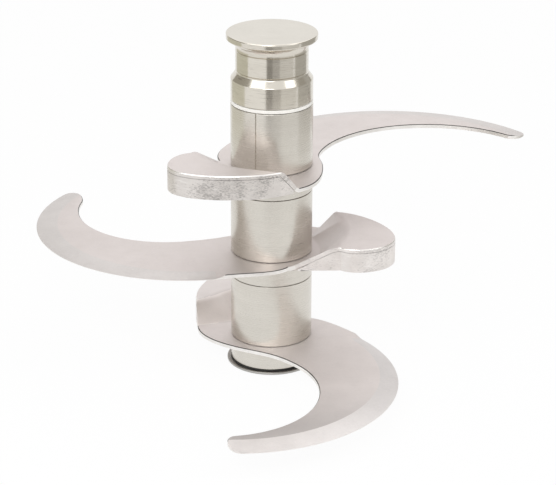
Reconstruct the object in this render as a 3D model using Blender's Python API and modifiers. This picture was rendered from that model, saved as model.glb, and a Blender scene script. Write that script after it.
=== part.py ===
# Food processor blade: three sickle blades clamped one above another on a drive tube

import math

import bmesh
import bpy
from mathutils import Matrix, Vector
from mathutils.geometry import interpolate_bezier

for old_object in list(bpy.data.objects):
    bpy.data.objects.remove(old_object, do_unlink=True)

mm = 0.001


def polar(radius, angle):
    return Vector((radius * math.cos(angle), radius * math.sin(angle)))


# Clearances
joint_gap = 0.3 * mm
slip_fit = 0.3 * mm

# Drive tube, which the motor shaft enters from below
shaft_bore_radius = 11.0 * mm
tube_wall = 6.0 * mm
bore_roof = 7.0 * mm
bore_mouth_chamfer = 1.0 * mm
shaft_slot_width = 5.0 * mm
shaft_slot_depth = 2.5 * mm
flange_thickness = 1.4 * mm
flange_overhang = 2.5 * mm
flange_chamfer = 0.4 * mm
stud_radius = 12.0 * mm
stud_length = 17.0 * mm
stud_chamfer = 1.5 * mm

# Seals
foot_seal_thickness = 0.5 * mm
foot_seal_overhang = 0.6 * mm
cap_seal_thickness = 2.3 * mm
joint_seal_section = 1.2 * mm

# Column of sleeves and collars
column_radius = 25.0 * mm
edge_chamfer = 0.3 * mm
lower_sleeve_length = 39.8 * mm
middle_sleeve_length = 39.8 * mm
upper_sleeve_length = 38.7 * mm
lower_collar_length = 12.4 * mm
collar_length = 12.9 * mm
mark_width = 1.0 * mm
mark_depth = 0.8 * mm
mark_angle = math.radians(-112.2)

# Keys that turn the blades with the tube
key_width = 6.0 * mm
key_height = 6.0 * mm
key_seat_depth = 3.3 * mm
key_round = 0.5 * mm
key_angle = math.radians(-20.0)

# Top knob
shoulder_step = 0.1 * mm
shoulder_height = 13.0 * mm
knob_chamfer_height = 4.0 * mm
knob_chamfer_width = 2.9 * mm
neck_height = 14.4 * mm
cove_height = 5.8 * mm
disc_overhang = 5.6 * mm
disc_rim_height = 3.8 * mm
disc_edge_round = 0.7 * mm

# Folded blade sheet, and how far its hub and its head reach from the axis
sheet_thickness = 2.5 * mm
hub_reach = 47.5 * mm
head_reach = 74.0 * mm
edge_land = 0.3 * mm
plate_rise = 12.5 * mm
plate_edge_round = 2.1 * mm
hub_flat_left = 3.0 * mm
hub_flat_right = 7.0 * mm
foot_bend = 0.12
top_bend = 0.28
block_toe = 0.15
grind_width = 8.4 * mm
grind_shift = Vector((-0.286, 0.5)) * grind_width

# Each blade in its own plan: its turn, its ground and back edges, its tip, and how its
# hand-finished head differs from the others. The ground edge starts at the root point, and
# the back edge's arc is a share of the ground edge's.
blade_plans = {
    "lower": {
        "turn": math.radians(0.0),
        "root_point": Vector((1.104, -0.057)) * hub_reach,
        "cut_radius": 96.4 * mm,
        "cut_start": math.radians(41.2),
        "cut_end": math.radians(-87.6),
        "back_offset": Vector((-0.1068, -0.2116)),
        "back_ratio": 0.6131,
        "back_start": math.radians(-80.3),
        "tip_reach": 8.0 * mm,
        "head_shift": Vector((0.0, 0.0)) * hub_reach,
        "head_swell": 4.5 * mm,
        "fold_end": math.radians(40.0),
        "root_handle": Vector((0.716, 0.379)) * hub_reach,
    },
    "middle": {
        "turn": math.radians(243.0),
        "root_point": Vector((1.066, -0.101)) * hub_reach,
        "cut_radius": 95.9 * mm,
        "cut_start": math.radians(43.0),
        "cut_end": math.radians(-93.0),
        "back_offset": Vector((-0.1074, -0.2054)),
        "back_ratio": 0.6027,
        "back_start": math.radians(-74.0),
        "tip_reach": 11.0 * mm,
        "head_shift": Vector((0.034, 0.076)) * hub_reach,
        "head_swell": 4.5 * mm,
        "fold_end": math.radians(45.0),
        "root_handle": Vector((0.716, 0.453)) * hub_reach,
    },
    "upper": {
        "turn": math.radians(117.5),
        "root_point": Vector((1.079, -0.074)) * hub_reach,
        "cut_radius": 106.1 * mm,
        "cut_start": math.radians(35.8),
        "cut_end": math.radians(-79.8),
        "back_offset": Vector((-0.0933, -0.2130)),
        "back_ratio": 0.6729,
        "back_start": math.radians(-70.7),
        "tip_reach": 8.5 * mm,
        "head_shift": Vector((-0.011, -0.021)) * hub_reach,
        "head_swell": 0.0 * mm,
        "fold_end": math.radians(56.0),
        "root_handle": Vector((0.737, 0.505)) * hub_reach,
    },
}
back_end = math.radians(40.0)

# Plan points of the hub and of the raised plate over the counterweight
fold_left = Vector((-0.975, 0.143)) * hub_reach
foot_arc_start = math.radians(152.0)
hub_front = Vector((-0.4, -0.531)) * hub_reach
hub_front_angle = math.radians(-27.5)
hub_front_reach_left = 20.0 * mm
hub_front_reach_right = 15.0 * mm
fold_left_reach = 12.0 * mm
plate_left = Vector((-1.0, 0.421)) * hub_reach
plate_left_handle = Vector((-1.021, 0.842)) * hub_reach
plate_apex = Vector((-0.162, 1.0)) * head_reach
plate_apex_handle_back = Vector((-0.405, 1.0)) * head_reach
plate_apex_handle_on = Vector((-0.027, 1.0)) * head_reach
plate_corner = Vector((0.101, 0.689)) * head_reach
plate_corner_handle = Vector((0.142, 0.838)) * head_reach
top_crease_handle_left = Vector((-0.486, 0.486)) * head_reach
top_crease_handle_right = Vector((-0.351, 0.635)) * head_reach
swell_angle = math.radians(130.0)
apex_swell_share = 0.3
root_reach = 12.0 * mm
back_reach = 20.0 * mm

# Facet counts
column_steps = 48
ring_steps = 32
ring_section_steps = 8
arc_step = math.radians(4.5)
fold_columns = 14
curve_points = 9

# Sizes that follow from the ones above
tube_radius = shaft_bore_radius + tube_wall
hub_bore_radius = tube_radius + slip_fit
flange_radius = column_radius + flange_overhang
foot_seal_radius = column_radius + foot_seal_overhang
foot_seal_chamfer = foot_seal_thickness / 4
key_floor_radius = tube_radius - key_seat_depth
key_inner_radius = key_floor_radius + slip_fit
key_outer_radius = key_inner_radius + key_height
hub_slot_radius = key_outer_radius + slip_fit
slot_width = key_width + 2 * slip_fit
shoulder_radius = column_radius - shoulder_step
neck_radius = shoulder_radius - knob_chamfer_width
disc_radius = neck_radius + disc_overhang
joint_seal_radius = tube_radius + 2 * slip_fit + joint_seal_section
joint_recess_radius = joint_seal_radius + joint_seal_section + slip_fit
joint_recess_depth = 2 * joint_seal_section + joint_gap
stud_bore_radius = stud_radius + slip_fit
top_steps = [1.0 - top_bend * (1.0 - i / 3) for i in range(4)]
for blade_plan in blade_plans.values():
    root_offset = polar(blade_plan["cut_radius"], blade_plan["cut_start"])
    blade_plan["cut_center"] = blade_plan["root_point"] - root_offset
    back_shift = blade_plan["back_offset"] * blade_plan["cut_radius"]
    blade_plan["back_center"] = blade_plan["cut_center"] + back_shift
    blade_plan["back_radius"] = blade_plan["back_ratio"] * blade_plan["cut_radius"]

# Heights up the stack, from the flange's underside
foot_seal_bottom = flange_thickness + joint_gap
foot_seal_top = foot_seal_bottom + foot_seal_thickness
levels = {}
next_bottom = foot_seal_top + joint_gap
for level, collar_size, sleeve_size in (
    ("lower", lower_collar_length, lower_sleeve_length),
    ("middle", collar_length, middle_sleeve_length),
    ("upper", collar_length, upper_sleeve_length),
):
    collar_top = next_bottom + collar_size
    sheet_bottom = collar_top + joint_gap
    sheet_top = sheet_bottom + sheet_thickness
    sleeve_bottom = sheet_top + joint_gap
    sleeve_top = sleeve_bottom + sleeve_size
    levels[level] = {
        "collar_bottom": next_bottom,
        "collar_top": collar_top,
        "sheet_top": sheet_top,
        "sleeve_bottom": sleeve_bottom,
        "sleeve_top": sleeve_top,
    }
    next_bottom = sleeve_top + joint_gap
cap_seal_bottom = levels["upper"]["sleeve_top"] + joint_gap
cap_seal_top = cap_seal_bottom + cap_seal_thickness
knob_bottom = cap_seal_top + joint_gap
shoulder_top = knob_bottom + shoulder_height
neck_bottom = shoulder_top + knob_chamfer_height
neck_top = neck_bottom + neck_height
disc_bottom = neck_top + cove_height
knob_top = disc_bottom + disc_rim_height
tube_top = knob_bottom - 3 * joint_gap
stud_top = tube_top + stud_length
stud_bore_top = stud_top + 3 * joint_gap
shaft_bore_top = tube_top - bore_roof

product = bpy.data.collections.new("food_processor_blade")
cutters = bpy.data.collections.new("cutters")
bpy.context.scene.collection.children.link(product)
bpy.context.scene.collection.children.link(cutters)


# Materials
def make_material(name, color, roughness, metallic):
    material = bpy.data.materials.new(name)
    material.use_nodes = True
    shader = material.node_tree.nodes["Principled BSDF"]
    shader.inputs["Base Color"].default_value = (*color, 1.0)
    shader.inputs["Roughness"].default_value = roughness
    shader.inputs["Metallic"].default_value = metallic
    material.diffuse_color = (*color, 1.0)
    return material


materials = {
    "blade_steel": make_material("blade_steel", (0.72, 0.69, 0.67), 0.38, 1.0),
    "turned_steel": make_material("turned_steel", (0.66, 0.63, 0.57), 0.28, 1.0),
    "ground_steel": make_material("ground_steel", (0.68, 0.65, 0.62), 0.42, 1.0),
    "plain_steel": make_material("plain_steel", (0.55, 0.54, 0.52), 0.35, 1.0),
    "white_seal": make_material("white_seal", (0.86, 0.83, 0.77), 0.45, 0.0),
    "black_seal": make_material("black_seal", (0.03, 0.03, 0.03), 0.60, 0.0),
}


# Shared building steps
def add_object(name, mesh, material, collection=product):
    item = bpy.data.objects.new(name, mesh)
    item.data.materials.append(materials[material])
    collection.objects.link(item)
    return item


def add_cutter(name, mesh):
    item = bpy.data.objects.new(name, mesh)
    cutters.objects.link(item)
    item.hide_render = True
    item.display_type = "WIRE"
    return item


def cut(item, cutter):
    modifier = item.modifiers.new("cut_" + cutter.name, "BOOLEAN")
    modifier.operation = "DIFFERENCE"
    modifier.solver = "EXACT"
    modifier.object = cutter


def apply_modifiers(item):
    graph = bpy.context.evaluated_depsgraph_get()
    mesh = bpy.data.meshes.new_from_object(item.evaluated_get(graph))
    item.modifiers.clear()
    item.data = mesh


def turn_profile(name, profile, material, closed):
    mesh = bpy.data.meshes.new(name)
    edges = [(i, i + 1) for i in range(len(profile) - 1)]
    if closed:
        edges.append((len(profile) - 1, 0))
    mesh.from_pydata([(radius, 0.0, height) for radius, height in profile], edges, [])
    item = add_object(name, mesh, material)
    screw = item.modifiers.new("turn", "SCREW")
    screw.steps = column_steps
    screw.render_steps = column_steps
    screw.use_merge_vertices = True
    screw.merge_threshold = 0.00001
    screw.use_smooth_shade = True
    return item


def ring_profile(inner, outer, bottom, top, chamfer):
    return [
        (inner, top),
        (outer - chamfer, top),
        (outer, top - chamfer),
        (outer, bottom + chamfer),
        (outer - chamfer, bottom),
        (inner, bottom),
    ]


def box_cutter(name, angle, inner, outer, width, bottom, top):
    mesh = bpy.data.meshes.new(name)
    bm = bmesh.new()
    bmesh.ops.create_cube(bm, size=1.0)
    size = Vector((outer - inner, width, top - bottom))
    bmesh.ops.scale(bm, vec=size, verts=bm.verts)
    center = Vector(((inner + outer) / 2, 0.0, (bottom + top) / 2))
    bmesh.ops.translate(bm, vec=center, verts=bm.verts)
    bmesh.ops.rotate(bm, matrix=Matrix.Rotation(angle, 3, "Z"), verts=bm.verts)
    bm.to_mesh(mesh)
    bm.free()
    return add_cutter(name, mesh)


def bezier_points(start, start_handle, end_handle, end, count):
    points = interpolate_bezier(start, start_handle, end_handle, end, count + 1)
    return [Vector((point[0], point[1])) for point in points]


def arc_points(center, radius, start, end):
    count = max(2, round(abs(end - start) / arc_step))
    return [center + polar(radius, start + (end - start) * i / count) for i in range(count + 1)]


# Drive tube with its flange, stud, shaft bore and slots
def build_drive_tube():
    profile = [
        (0.0, stud_top),
        (stud_radius - stud_chamfer, stud_top),
        (stud_radius, stud_top - stud_chamfer),
        (stud_radius, tube_top),
        (tube_radius, tube_top),
        (tube_radius, flange_thickness),
        (flange_radius - flange_chamfer, flange_thickness),
        (flange_radius, flange_thickness - flange_chamfer),
        (flange_radius, flange_chamfer),
        (flange_radius - flange_chamfer, 0.0),
        (shaft_bore_radius + bore_mouth_chamfer, 0.0),
        (shaft_bore_radius, bore_mouth_chamfer),
        (shaft_bore_radius, shaft_bore_top),
        (0.0, shaft_bore_top),
    ]
    tube = turn_profile("drive_tube", profile, "plain_steel", closed=False)
    slot_reach = shaft_bore_radius + shaft_slot_depth
    slot = box_cutter(
        "shaft_slot_cutter", key_angle + math.pi, 0.0, slot_reach, shaft_slot_width,
        -flange_thickness, shaft_bore_top - shaft_slot_width,
    )
    cut(tube, slot)
    for level, plan in blade_plans.items():
        heights = levels[level]
        pocket = box_cutter(
            "key_pocket_cutter_" + level, key_angle + plan["turn"], key_floor_radius,
            tube_radius + key_height, slot_width, heights["collar_bottom"], heights["sheet_top"],
        )
        cut(tube, pocket)


# Seals at the foot and under the knob, and the rings in the sleeves' feet
def build_seals():
    foot = ring_profile(
        hub_bore_radius, foot_seal_radius, foot_seal_bottom, foot_seal_top, foot_seal_chamfer,
    )
    turn_profile("foot_seal", foot, "black_seal", closed=True)
    cap = ring_profile(hub_bore_radius, column_radius, cap_seal_bottom, cap_seal_top, edge_chamfer)
    turn_profile("cap_seal", cap, "white_seal", closed=True)
    for level, heights in levels.items():
        bpy.ops.mesh.primitive_torus_add(
            major_radius=joint_seal_radius, minor_radius=joint_seal_section,
            major_segments=ring_steps, minor_segments=ring_section_steps,
            location=(0.0, 0.0, heights["sheet_top"] + joint_gap + joint_seal_section),
        )
        ring = bpy.context.active_object
        ring.name = "joint_seal_" + level
        ring.data.materials.append(materials["black_seal"])
        for holder in list(ring.users_collection):
            holder.objects.unlink(ring)
        product.objects.link(ring)


# Spacer sleeves, each recessed at its foot for a seal, the upper one with a scribed mark
def build_sleeves():
    for level, heights in levels.items():
        bottom = heights["sleeve_bottom"]
        top = heights["sleeve_top"]
        profile = [
            (hub_bore_radius, top),
            (column_radius - edge_chamfer, top),
            (column_radius, top - edge_chamfer),
            (column_radius, bottom + edge_chamfer),
            (column_radius - edge_chamfer, bottom),
            (joint_recess_radius, bottom),
            (joint_recess_radius, bottom + joint_recess_depth),
            (hub_bore_radius, bottom + joint_recess_depth),
        ]
        sleeve = turn_profile("sleeve_" + level, profile, "turned_steel", closed=True)
        if level == "upper":
            mark = box_cutter(
                "mark_cutter", mark_angle, column_radius - mark_depth, column_radius + mark_depth,
                mark_width, bottom - mark_depth, top + mark_depth,
            )
            cut(sleeve, mark)


# Collars under the blades, and the keys beside the tube
def build_collars_and_keys():
    for level, heights in levels.items():
        bottom = heights["collar_bottom"]
        top = heights["collar_top"]
        angle = key_angle + blade_plans[level]["turn"]
        profile = ring_profile(hub_bore_radius, column_radius, bottom, top, edge_chamfer)
        collar = turn_profile("collar_" + level, profile, "turned_steel", closed=True)
        slot = box_cutter(
            "collar_slot_cutter_" + level, angle, 0.0, hub_slot_radius, slot_width,
            bottom - joint_gap, top + joint_gap,
        )
        cut(collar, slot)
        key_bottom = bottom + slip_fit
        key_top = heights["sheet_top"] - slip_fit
        bpy.ops.mesh.primitive_cube_add(size=1.0)
        key = bpy.context.active_object
        key.name = "hub_key_" + level
        key.data.transform(Matrix.Diagonal((key_height, key_width, key_top - key_bottom, 1.0)))
        key_middle = polar(key_inner_radius + key_height / 2, angle)
        key.location = (key_middle.x, key_middle.y, (key_bottom + key_top) / 2)
        key.rotation_euler.z = angle
        key.data.materials.append(materials["plain_steel"])
        soften = key.modifiers.new("soften", "BEVEL")
        soften.width = key_round
        soften.segments = 1
        for holder in list(key.users_collection):
            holder.objects.unlink(key)
        product.objects.link(key)


# Top knob: disc, cove, grip neck, chamfer and shoulder, bored for the stud
def build_knob():
    profile = [(0.0, knob_top)]
    for i in range(4):
        angle = math.radians(90.0 - 30.0 * i)
        corner = polar(disc_edge_round, angle)
        profile.append((disc_radius - disc_edge_round + corner.x, knob_top - disc_edge_round + corner.y))
    for i in range(4):
        angle = math.radians(-30.0 * i)
        corner = polar(disc_edge_round, angle)
        profile.append((disc_radius - disc_edge_round + corner.x, disc_bottom + disc_edge_round + corner.y))
    cove_width = disc_radius - disc_edge_round - neck_radius
    for i in range(1, 6):
        angle = math.radians(90.0 + 18.0 * i)
        radius = neck_radius + cove_width * (1.0 + math.cos(angle))
        profile.append((radius, neck_top + cove_height * math.sin(angle)))
    profile += [
        (neck_radius, neck_bottom),
        (shoulder_radius - edge_chamfer, shoulder_top),
        (shoulder_radius, shoulder_top - edge_chamfer),
        (shoulder_radius, knob_bottom + edge_chamfer),
        (shoulder_radius - edge_chamfer, knob_bottom),
        (stud_bore_radius, knob_bottom),
        (stud_bore_radius, stud_bore_top),
        (0.0, stud_bore_top),
    ]
    turn_profile("top_knob", profile, "turned_steel", closed=False)


# Height of the fold between hub and plate, as a share of the rise
def fold_share(step):
    slope = 1.0 / (1.0 - foot_bend / 2 - top_bend / 2)
    if step < foot_bend:
        return slope * step * step / (2 * foot_bend)
    if step > 1.0 - top_bend:
        return 1.0 - slope * (1.0 - step) ** 2 / (2 * top_bend)
    return slope * (step - foot_bend / 2)


# Right end of the fold's foot
def fold_right(plan):
    return polar(column_radius + hub_flat_right, plan["fold_end"])


# Crease at the foot of the fold: straight in from the left, then round the column
def foot_crease(plan):
    turn_in = round(fold_columns * 0.3)
    arc_count = fold_columns - turn_in
    arc = []
    for i in range(arc_count + 1):
        share = i / arc_count
        radius = column_radius + hub_flat_left + (hub_flat_right - hub_flat_left) * share
        arc.append(polar(radius, foot_arc_start + (plan["fold_end"] - foot_arc_start) * share))
    left = fold_left + plan["head_shift"]
    straight = [left.lerp(arc[0], i / turn_in) for i in range(turn_in)]
    return straight + arc


def top_crease(plan):
    return bezier_points(
        plate_left + plan["head_shift"], top_crease_handle_left, top_crease_handle_right,
        plate_corner, fold_columns,
    )


def plate_outline(plan):
    swell = polar(plan["head_swell"], swell_angle)
    left = plate_left + plan["head_shift"]
    apex = plate_apex + swell * apex_swell_share
    outer = bezier_points(
        left, plate_left_handle + swell, plate_apex_handle_back + swell, apex, curve_points,
    )
    end = bezier_points(
        apex, plate_apex_handle_on + swell * apex_swell_share, plate_corner_handle, plate_corner,
        curve_points,
    )
    return outer[1:] + end[1:-1]


# Hub and arm outline, from the right end of the fold round the arm to its left end
def arm_outline(plan):
    cut_arc = arc_points(plan["cut_center"], plan["cut_radius"], plan["cut_start"], plan["cut_end"])
    back_arc = arc_points(plan["back_center"], plan["back_radius"], plan["back_start"], back_end)
    along_cut = polar(1.0, plan["cut_start"] - math.pi / 2)
    root = bezier_points(
        fold_right(plan), plan["root_handle"], cut_arc[0] - along_cut * root_reach, cut_arc[0],
        curve_points,
    )
    off_cut = polar(1.0, plan["cut_end"] - math.pi / 2)
    onto_back = polar(1.0, plan["back_start"] + math.pi / 2)
    tip = bezier_points(
        cut_arc[-1], cut_arc[-1] + off_cut * plan["tip_reach"],
        back_arc[0] - onto_back * plan["tip_reach"], back_arc[0], curve_points,
    )
    off_back = polar(1.0, back_end + math.pi / 2)
    along_front = polar(1.0, hub_front_angle)
    neck = bezier_points(
        back_arc[-1], back_arc[-1] + off_back * back_reach,
        hub_front + along_front * hub_front_reach_right, hub_front, curve_points,
    )
    left = fold_left + plan["head_shift"]
    down_left = (fold_left - plate_left).normalized()
    front = bezier_points(
        hub_front, hub_front - along_front * hub_front_reach_left,
        left + down_left * fold_left_reach, left, curve_points,
    )
    return root[1:-1] + cut_arc + tip[1:-1] + back_arc + neck[1:] + front[1:-1]


# Hub bore with the slot for the key
def hub_bore_outline():
    half_slot = math.asin(slot_width / 2 / hub_bore_radius)
    arc_start = key_angle + half_slot
    arc_end = key_angle - half_slot + 2 * math.pi
    bore = [
        polar(hub_bore_radius, arc_start + (arc_end - arc_start) * i / column_steps)
        for i in range(column_steps + 1)
    ]
    side = polar(slot_width / 2, key_angle + math.pi / 2)
    bottom = polar(hub_slot_radius, key_angle)
    return bore + [bottom - side, bottom + side]


# Fold and raised plate as an open surface, starting part of the way up the fold
def add_fold_and_plate(bm, plan, steps):
    foot = foot_crease(plan)
    top = top_crease(plan)
    rows = []
    for step in steps:
        height = plate_rise * fold_share(step)
        rows.append([bm.verts.new((*low.lerp(high, step), height)) for low, high in zip(foot, top)])
    for low_row, high_row in zip(rows, rows[1:]):
        for i in range(fold_columns):
            bm.faces.new((low_row[i], low_row[i + 1], high_row[i + 1], high_row[i]))
    bmesh.ops.triangulate(bm, faces=list(bm.faces), quad_method="FIXED")
    rim = [bm.verts.new((*point, plate_rise)) for point in plate_outline(plan)]
    bm.faces.new(rows[-1] + rim[::-1])
    return rows


# Level directions across the fold's left and right ends
def fold_side_normals(plan):
    sides = []
    for low, high in ((foot_crease(plan)[0], plate_left + plan["head_shift"]),
                      (fold_right(plan), plate_corner)):
        along = (high - low).normalized()
        sides.append(Vector((along.y, -along.x, 0.0)))
    return sides


# Lean a step through the sheet so that it stays in the upright wall at the fold's end
def step_in_wall(step, wall):
    inside = step - wall * step.dot(wall)
    return inside * (step.length_squared / inside.length_squared)


def point_faces_up(bm):
    bmesh.ops.recalc_face_normals(bm, faces=bm.faces)
    if sum(face.normal.z * face.calc_area() for face in bm.faces) < 0:
        bmesh.ops.reverse_faces(bm, faces=bm.faces)


# Wedge that grinds the cutting edge from above, wider towards the tip
def build_grind_cutter(level, plan):
    mesh = bpy.data.meshes.new("grind_cutter_" + level)
    bm = bmesh.new()
    grind_center = plan["cut_center"] + grind_shift
    grind_radius = plan["cut_radius"] - grind_width
    offset = plan["cut_center"] - grind_center
    past_tip = plan["cut_end"] - math.radians(25.0)
    count = round((plan["cut_start"] - past_tip) / arc_step)
    sections = []
    for i in range(count + 1):
        ray = polar(1.0, plan["cut_start"] + (past_tip - plan["cut_start"]) * i / count)
        along = ray.dot(offset)
        inner = -along + math.sqrt(along * along - offset.dot(offset) + grind_radius ** 2)
        width = plan["cut_radius"] - inner
        outer = plan["cut_radius"] + width
        depth = 2 * (sheet_thickness - edge_land)
        inner_point = plan["cut_center"] + ray * inner
        outer_point = plan["cut_center"] + ray * outer
        section = [
            (*inner_point, 0.0),
            (*outer_point, -depth),
            (*outer_point, sheet_thickness),
            (*inner_point, sheet_thickness),
        ]
        sections.append([bm.verts.new(corner) for corner in section])
    for near, far in zip(sections, sections[1:]):
        for i in range(4):
            after = (i + 1) % 4
            bm.faces.new((near[i], near[after], far[after], far[i]))
    bm.faces.new(sections[0])
    bm.faces.new(sections[-1])
    bmesh.ops.recalc_face_normals(bm, faces=bm.faces)
    bm.to_mesh(mesh)
    bm.free()
    return add_cutter("grind_cutter_" + level, mesh)


# Stand the sheet's side walls upright at the fold's two ends
def straighten_fold_ends(item, plan, row_ends):
    points = item.data.vertices
    under = len(points) // 2
    for row, ends in enumerate(row_ends):
        for end, wall in zip(ends, fold_side_normals(plan)):
            upper = points[end].co
            lower = points[end + under]
            if row == len(row_ends) - 1:
                lower.co = upper - Vector((0.0, 0.0, sheet_thickness))
            else:
                lower.co = upper + step_in_wall(lower.co - upper, wall)


# Round the upper edge of the raised plate
def round_plate_edge(item):
    bm = bmesh.new()
    bm.from_mesh(item.data)
    lowest = plate_rise - joint_gap / 10
    rim = []
    for edge in bm.edges:
        at_top = all(vert.co.z > lowest for vert in edge.verts)
        if at_top and len(edge.link_faces) == 2 and edge.calc_face_angle() > math.radians(60.0):
            rim.append(edge)
    bmesh.ops.bevel(
        bm, geom=rim, offset=plate_edge_round, segments=3, profile=0.5, affect="EDGES",
        clamp_overlap=True,
    )
    bm.to_mesh(item.data)
    bm.free()


# Blade sheet: arm and hub, fold and raised plate, bored, rounded and ground
def build_blade(level, plan):
    name = "blade_" + level
    mesh = bpy.data.meshes.new(name)
    bm = bmesh.new()
    rows = add_fold_and_plate(bm, plan, [0.0, foot_bend / 2, foot_bend, block_toe] + top_steps)
    arm = [bm.verts.new((*point, 0.0)) for point in arm_outline(plan)]
    bore = [bm.verts.new((*point, 0.0)) for point in hub_bore_outline()]
    loops = [rows[0] + arm, bore]
    edges = []
    for loop in loops:
        for near, far in zip(loop, loop[1:] + loop[:1]):
            edges.append(bm.edges.get((near, far)) or bm.edges.new((near, far)))
    bmesh.ops.triangle_fill(bm, use_beauty=True, edges=edges)
    point_faces_up(bm)
    bm.verts.index_update()
    row_ends = [(row[0].index, row[-1].index) for row in rows]
    bm.to_mesh(mesh)
    bm.free()
    blade = add_object(name, mesh, "blade_steel")
    thicken = blade.modifiers.new("thicken", "SOLIDIFY")
    thicken.thickness = sheet_thickness
    thicken.offset = -1.0
    thicken.use_even_offset = True
    apply_modifiers(blade)
    straighten_fold_ends(blade, plan, row_ends)
    round_plate_edge(blade)
    place = Matrix.Translation((0.0, 0.0, levels[level]["sheet_top"]))
    place = place @ Matrix.Rotation(plan["turn"], 4, "Z")
    blade.matrix_world = place
    grind = build_grind_cutter(level, plan)
    grind.matrix_world = place
    cut(blade, grind)


# Counterweight block that fills the space under the fold and the plate
def build_counterweight(level, plan):
    name = "counterweight_" + level
    mesh = bpy.data.meshes.new(name)
    bm = bmesh.new()
    rows = add_fold_and_plate(bm, plan, [block_toe] + top_steps)
    point_faces_up(bm)
    sink = sheet_thickness + joint_gap
    steps = {vert: vert.normal * vert.calc_shell_factor() * -sink for vert in bm.verts}
    for row in rows[:-1]:
        for vert, wall in zip((row[0], row[-1]), fold_side_normals(plan)):
            steps[vert] = step_in_wall(steps[vert], wall)
    for vert in (rows[-1][0], rows[-1][-1]):
        steps[vert] = Vector((0.0, 0.0, -sink))
    for vert, step in steps.items():
        vert.co += step
    top_faces = list(bm.faces)
    extruded = bmesh.ops.extrude_face_region(bm, geom=top_faces)
    for element in extruded["geom"]:
        if isinstance(element, bmesh.types.BMVert):
            element.co.z = -sheet_thickness
    bmesh.ops.recalc_face_normals(bm, faces=bm.faces)
    bm.to_mesh(mesh)
    bm.free()
    block = add_object(name, mesh, "ground_steel")
    block.location.z = levels[level]["sheet_top"]
    block.rotation_euler.z = plan["turn"]


build_drive_tube()
build_seals()
build_sleeves()
build_collars_and_keys()
build_knob()
for blade_level, blade_plan in blade_plans.items():
    build_blade(blade_level, blade_plan)
    build_counterweight(blade_level, blade_plan)
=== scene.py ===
import math
import time

import bmesh
import bpy
from mathutils import Matrix, Vector
from mathutils.geometry import interpolate_bezier


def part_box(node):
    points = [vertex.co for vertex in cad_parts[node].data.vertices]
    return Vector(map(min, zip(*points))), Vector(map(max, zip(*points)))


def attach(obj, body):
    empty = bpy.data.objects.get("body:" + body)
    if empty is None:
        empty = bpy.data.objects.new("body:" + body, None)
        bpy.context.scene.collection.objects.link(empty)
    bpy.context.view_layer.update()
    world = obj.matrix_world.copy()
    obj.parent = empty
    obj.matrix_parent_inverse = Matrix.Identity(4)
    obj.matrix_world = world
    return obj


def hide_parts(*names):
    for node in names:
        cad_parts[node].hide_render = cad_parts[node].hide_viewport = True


startTime = time.time()
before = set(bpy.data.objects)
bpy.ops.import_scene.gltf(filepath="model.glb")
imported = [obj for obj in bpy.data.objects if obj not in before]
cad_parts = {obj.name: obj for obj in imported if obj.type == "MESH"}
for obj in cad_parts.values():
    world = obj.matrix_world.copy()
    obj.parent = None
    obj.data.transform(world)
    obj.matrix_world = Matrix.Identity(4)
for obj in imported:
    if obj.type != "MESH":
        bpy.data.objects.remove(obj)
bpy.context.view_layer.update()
mm = 0.001
levels = ("lower", "middle", "upper")


def report(stage):
    print("%5.1f s  %s" % (time.time() - startTime, stage))


def bottomOf(node):
    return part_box(node)[0].z


def topOf(node):
    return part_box(node)[1].z


def polar(radius, angle):
    return Vector((radius * math.cos(angle), radius * math.sin(angle)))


report("frame loaded")


# small helpers for node trees
def addNode(tree, kind, inputs=None, **settings):
    node = tree.nodes.new("ShaderNode" + kind)
    for name, value in settings.items():
        setattr(node, name, value)
    for socket, value in (inputs or {}).items():
        if isinstance(value, bpy.types.NodeSocket):
            tree.links.new(value, node.inputs[socket])
        else:
            node.inputs[socket].default_value = value
    return node


def spread(tree, value, fromLow, fromHigh, toLow, toHigh):
    return addNode(tree, "MapRange", {
        "Value": value, "From Min": fromLow, "From Max": fromHigh, "To Min": toLow, "To Max": toHigh,
    }).outputs["Result"]


def calculate(tree, operation, first, second):
    return addNode(tree, "Math", {0: first, 1: second}, operation=operation).outputs[0]


def stretch(tree, vector, scale):
    return addNode(tree, "VectorMath", {0: vector, 1: scale}, operation="MULTIPLY").outputs[0]


def blendColors(tree, share, first, second, blendType="MIX"):
    ends = [end if isinstance(end, bpy.types.NodeSocket) else (*end, 1.0) for end in (first, second)]
    mix = addNode(tree, "Mix", data_type="RGBA", blend_type=blendType, clamp_factor=True)
    for socket, value in ((0, share), (6, ends[0]), (7, ends[1])):
        if isinstance(value, bpy.types.NodeSocket):
            tree.links.new(value, mix.inputs[socket])
        else:
            mix.inputs[socket].default_value = value
    return mix.outputs[2]


# the place on the piece, whole and as its three parts
def objectPlace(tree):
    place = addNode(tree, "TexCoord").outputs["Object"]
    return place, addNode(tree, "SeparateXYZ", {0: place}).outputs


def startGroup(name, inputs, outputs):
    tree = bpy.data.node_groups.new(name, "ShaderNodeTree")
    for label, value in inputs.items():
        socket = tree.interface.new_socket(name=label, in_out="INPUT", socket_type="NodeSocketFloat")
        socket.default_value = value
    for label in outputs:
        tree.interface.new_socket(name=label, in_out="OUTPUT", socket_type="NodeSocketFloat")
    return tree, tree.nodes.new("NodeGroupInput"), tree.nodes.new("NodeGroupOutput")


def placeGroup(tree, group, **values):
    node = addNode(tree, "Group", node_tree=group)
    for name, value in values.items():
        node.inputs[name].default_value = value
    return node.outputs


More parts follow.
